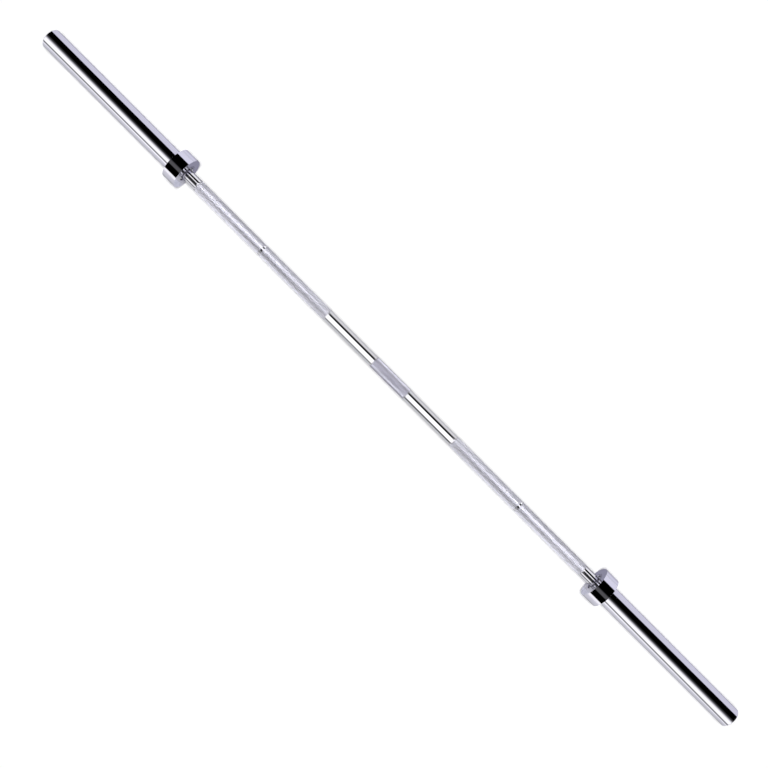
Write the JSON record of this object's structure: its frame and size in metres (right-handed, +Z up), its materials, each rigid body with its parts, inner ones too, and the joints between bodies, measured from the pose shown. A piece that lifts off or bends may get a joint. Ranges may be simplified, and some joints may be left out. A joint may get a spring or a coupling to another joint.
{
  "type": "olympic barbell",
  "caption": "Straight weightlifting bar: a knurled chrome shaft with a free-turning sleeve and a collar at each end, on which bored plates are loaded.",
  "frame": {"origin": "middle of the shaft, on its axis", "axes": "+X along the bar towards its right-hand end, +Z up, +Y away from the lifter"},
  "size_m": [2.184, 0.08, 0.08],
  "materials": {
    "shaft_chrome": "hard chrome over steel, with cut diamond knurl on the grip bands",
    "sleeve_chrome": "bright chrome plate, polished",
    "cap_chrome": "chrome plate, turned",
    "bronze": "oiled bearing bronze",
    "bearing_steel": "ground bearing steel",
    "spring_steel": "phosphated spring steel"
  },
  "bodies": {
    "shaft": {"shaft": "shaft_chrome", "right_inner_thrust_washer": "bearing_steel", "right_outer_thrust_washer": "bearing_steel", "right_shaft_circlip": "spring_steel", "left_inner_thrust_washer": "bearing_steel", "left_outer_thrust_washer": "bearing_steel", "left_shaft_circlip": "spring_steel"},
    "right_sleeve": {"right_sleeve_tube": "sleeve_chrome", "right_collar": "sleeve_chrome", "right_end_cap": "cap_chrome", "right_cap_circlip": "spring_steel", "right_inner_bush": "bronze", "right_outer_bush": "bronze", "right_inner_bearing_cup": "bearing_steel", "right_outer_bearing_cup": "bearing_steel"},
    "right_inner_cage": {"right_inner_bearing_cage": "bearing_steel", "right_inner_bearing_rollers": "bearing_steel"},
    "right_outer_cage": {"right_outer_bearing_cage": "bearing_steel", "right_outer_bearing_rollers": "bearing_steel"},
    "left_sleeve": {"left_sleeve_tube": "sleeve_chrome", "left_collar": "sleeve_chrome", "left_end_cap": "cap_chrome", "left_cap_circlip": "spring_steel", "left_inner_bush": "bronze", "left_outer_bush": "bronze", "left_inner_bearing_cup": "bearing_steel", "left_outer_bearing_cup": "bearing_steel"},
    "left_inner_cage": {"left_inner_bearing_cage": "bearing_steel", "left_inner_bearing_rollers": "bearing_steel"},
    "left_outer_cage": {"left_outer_bearing_cage": "bearing_steel", "left_outer_bearing_rollers": "bearing_steel"}
  },
  "joints": [
    {"name": "right_sleeve_spin", "type": "hinge", "parent": "shaft", "child": "right_sleeve", "pos_m": [0.691, 0, 0], "axis": [1, 0, 0], "continuous": true},
    {"name": "right_inner_cage_spin", "type": "hinge", "parent": "shaft", "child": "right_inner_cage", "pos_m": [0.711, 0, 0], "axis": [1, 0, 0], "continuous": true},
    {"name": "right_outer_cage_spin", "type": "hinge", "parent": "shaft", "child": "right_outer_cage", "pos_m": [1.02, 0, 0], "axis": [1, 0, 0], "continuous": true},
    {"name": "left_sleeve_spin", "type": "hinge", "parent": "shaft", "child": "left_sleeve", "pos_m": [-0.691, 0, 0], "axis": [1, 0, 0], "continuous": true},
    {"name": "left_inner_cage_spin", "type": "hinge", "parent": "shaft", "child": "left_inner_cage", "pos_m": [-0.711, 0, 0], "axis": [1, 0, 0], "continuous": true},
    {"name": "left_outer_cage_spin", "type": "hinge", "parent": "shaft", "child": "left_outer_cage", "pos_m": [-1.02, 0, 0], "axis": [1, 0, 0], "continuous": true}
  ],
  "couplings": [
    {"joint": "right_inner_cage_spin", "follows": "right_sleeve_spin", "ratio": 0.54512},
    {"joint": "right_outer_cage_spin", "follows": "right_sleeve_spin", "ratio": 0.54512},
    {"joint": "left_inner_cage_spin", "follows": "left_sleeve_spin", "ratio": 0.54512},
    {"joint": "left_outer_cage_spin", "follows": "left_sleeve_spin", "ratio": 0.54512}
  ]
}
